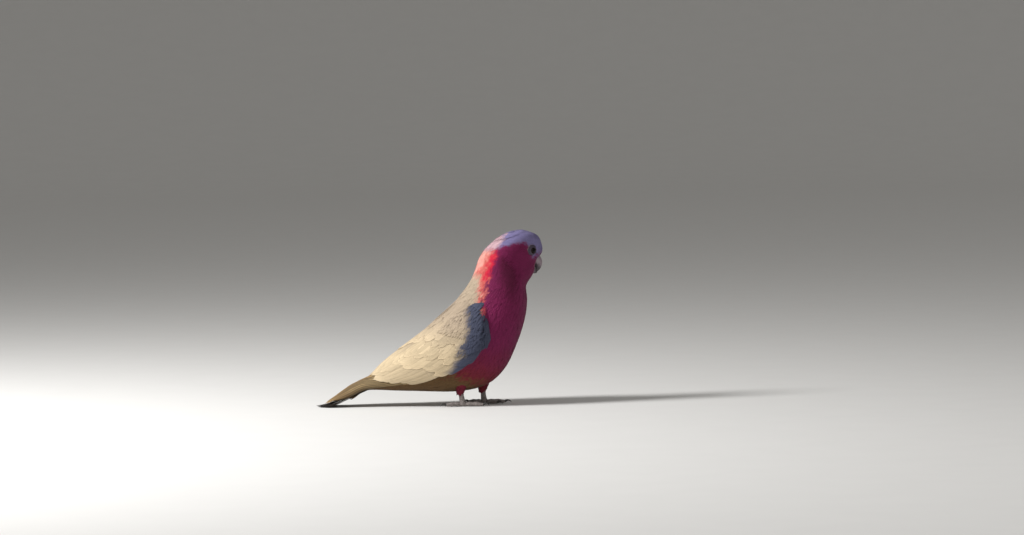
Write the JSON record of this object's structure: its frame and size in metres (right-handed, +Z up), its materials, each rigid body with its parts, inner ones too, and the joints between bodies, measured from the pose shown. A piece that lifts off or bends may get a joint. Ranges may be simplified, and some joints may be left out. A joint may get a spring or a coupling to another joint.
{
  "type": "galah",
  "caption": "Life-size still model of a galah, a grey and rose-pink cockatoo with a pale crest, standing upright with folded wings and its head turned aside.",
  "frame": {"origin": "centre of the outer box in plan, on the floor that the feet and the tail tip stand on", "axes": "+X the way the body faces, +Y the bird's left, +Z up"},
  "size_m": [0.269, 0.0918, 0.2048],
  "materials": {
    "rose_feathers": "soft overlapping body feathers, deep rose pink on face, neck, breast and belly, paler on the nape",
    "crown_feathers": "short soft crest feathers laid flat, pale pinkish white",
    "grey_feathers": "smooth overlapping wing and back feathers, pale ash grey with paler edges, darker towards the tips",
    "tail_feathers": "long stiff feathers, brownish grey, darker towards the tip",
    "bill_horn": "satin horn, bluish bone colour with a darker tip",
    "eye": "glossy dark brown eyeball",
    "foot_scales": "dry scaly grey skin",
    "claw_horn": "satin dark grey horn"
  },
  "bodies": {
    "root": {"head": "rose_feathers", "crest": "crown_feathers", "neck": "rose_feathers", "trunk": "rose_feathers", "bill_upper": "bill_horn", "bill_lower": "bill_horn", "eye_right": "eye", "eye_left": "eye", "wing_right": "grey_feathers", "wing_left": "grey_feathers", "tail": "tail_feathers", "thigh_right": "rose_feathers", "thigh_left": "rose_feathers", "foot_right": "foot_scales", "foot_left": "foot_scales", "claw_right_1": "claw_horn", "claw_right_2": "claw_horn", "claw_right_3": "claw_horn", "claw_right_4": "claw_horn", "claw_left_1": "claw_horn", "claw_left_2": "claw_horn", "claw_left_3": "claw_horn", "claw_left_4": "claw_horn"}
  },
  "joints": []
}
